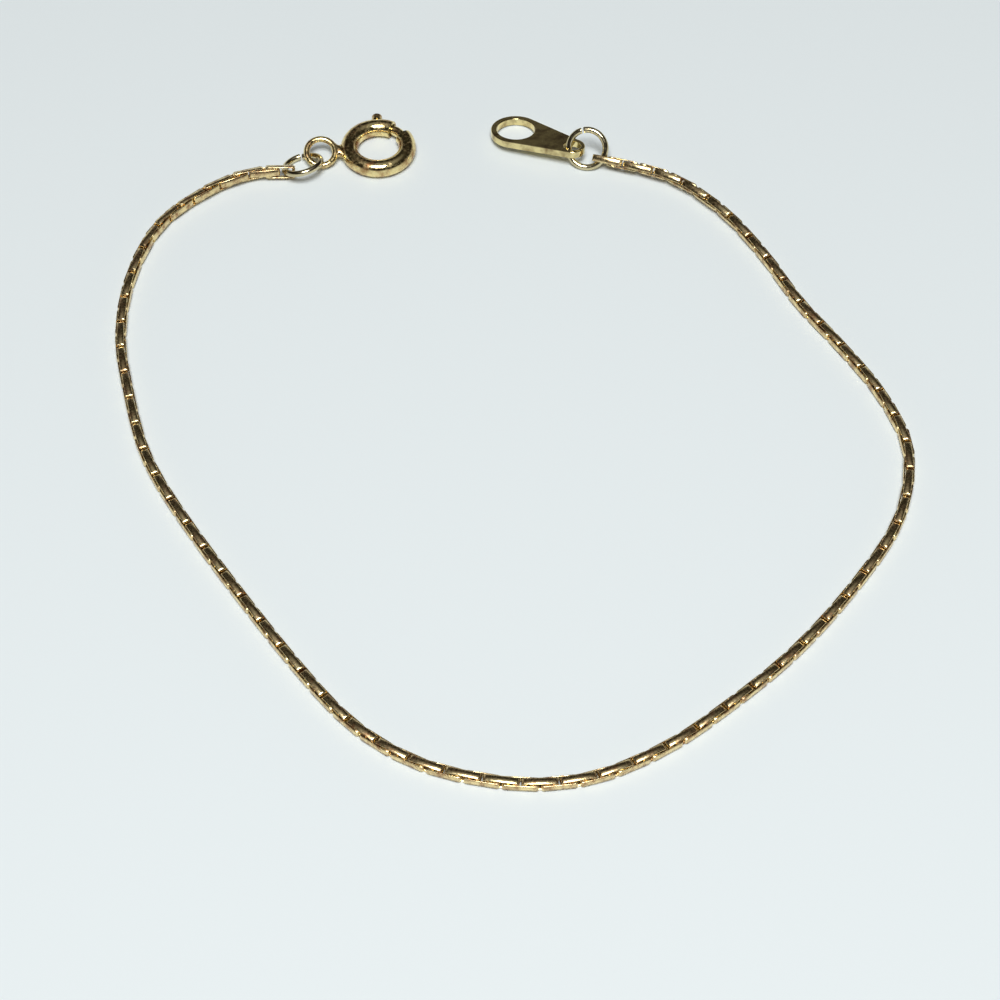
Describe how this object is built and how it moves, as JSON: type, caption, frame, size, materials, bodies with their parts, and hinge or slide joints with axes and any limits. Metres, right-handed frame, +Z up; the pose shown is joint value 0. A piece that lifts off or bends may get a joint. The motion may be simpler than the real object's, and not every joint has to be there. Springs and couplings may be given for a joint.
{
  "type": "chain bracelet",
  "caption": "Fine square-section chain bracelet lying open in a loop, with a spring ring clasp at one end and a flat teardrop tag at the other, each on a split jump ring.",
  "frame": {"origin": "middle of the bracelet's outline, on the table", "axes": "+Z up from the table; +Y from the bottom of the loop towards the clasp and tag; +X from the clasp towards the tag"},
  "size_m": [0.0598, 0.0642, 0.0028],
  "materials": {
    "chain_gold": "polished yellow gold-tone plating",
    "clasp_gold": "polished yellow gold-tone plating",
    "ring_gold": "polished pale gold-tone plating"
  },
  "bodies": {
    "bracelet": {"chain_right": "chain_gold", "chain_left": "chain_gold", "jump_ring_right": "ring_gold", "jump_ring_left": "ring_gold", "spring_ring": "clasp_gold", "tag": "clasp_gold"},
    "bolt": {"bolt": "clasp_gold"}
  },
  "joints": [
    {"name": "bolt_slide_round", "type": "hinge", "parent": "bracelet", "child": "bolt", "pos_m": [-0.01037, 0.02826, 0.0007], "axis": [0, 0, 1], "range_deg": [0, 38], "stiffness_Nm_per_rad": 0.000006, "springref_deg": -11.46}
  ]
}
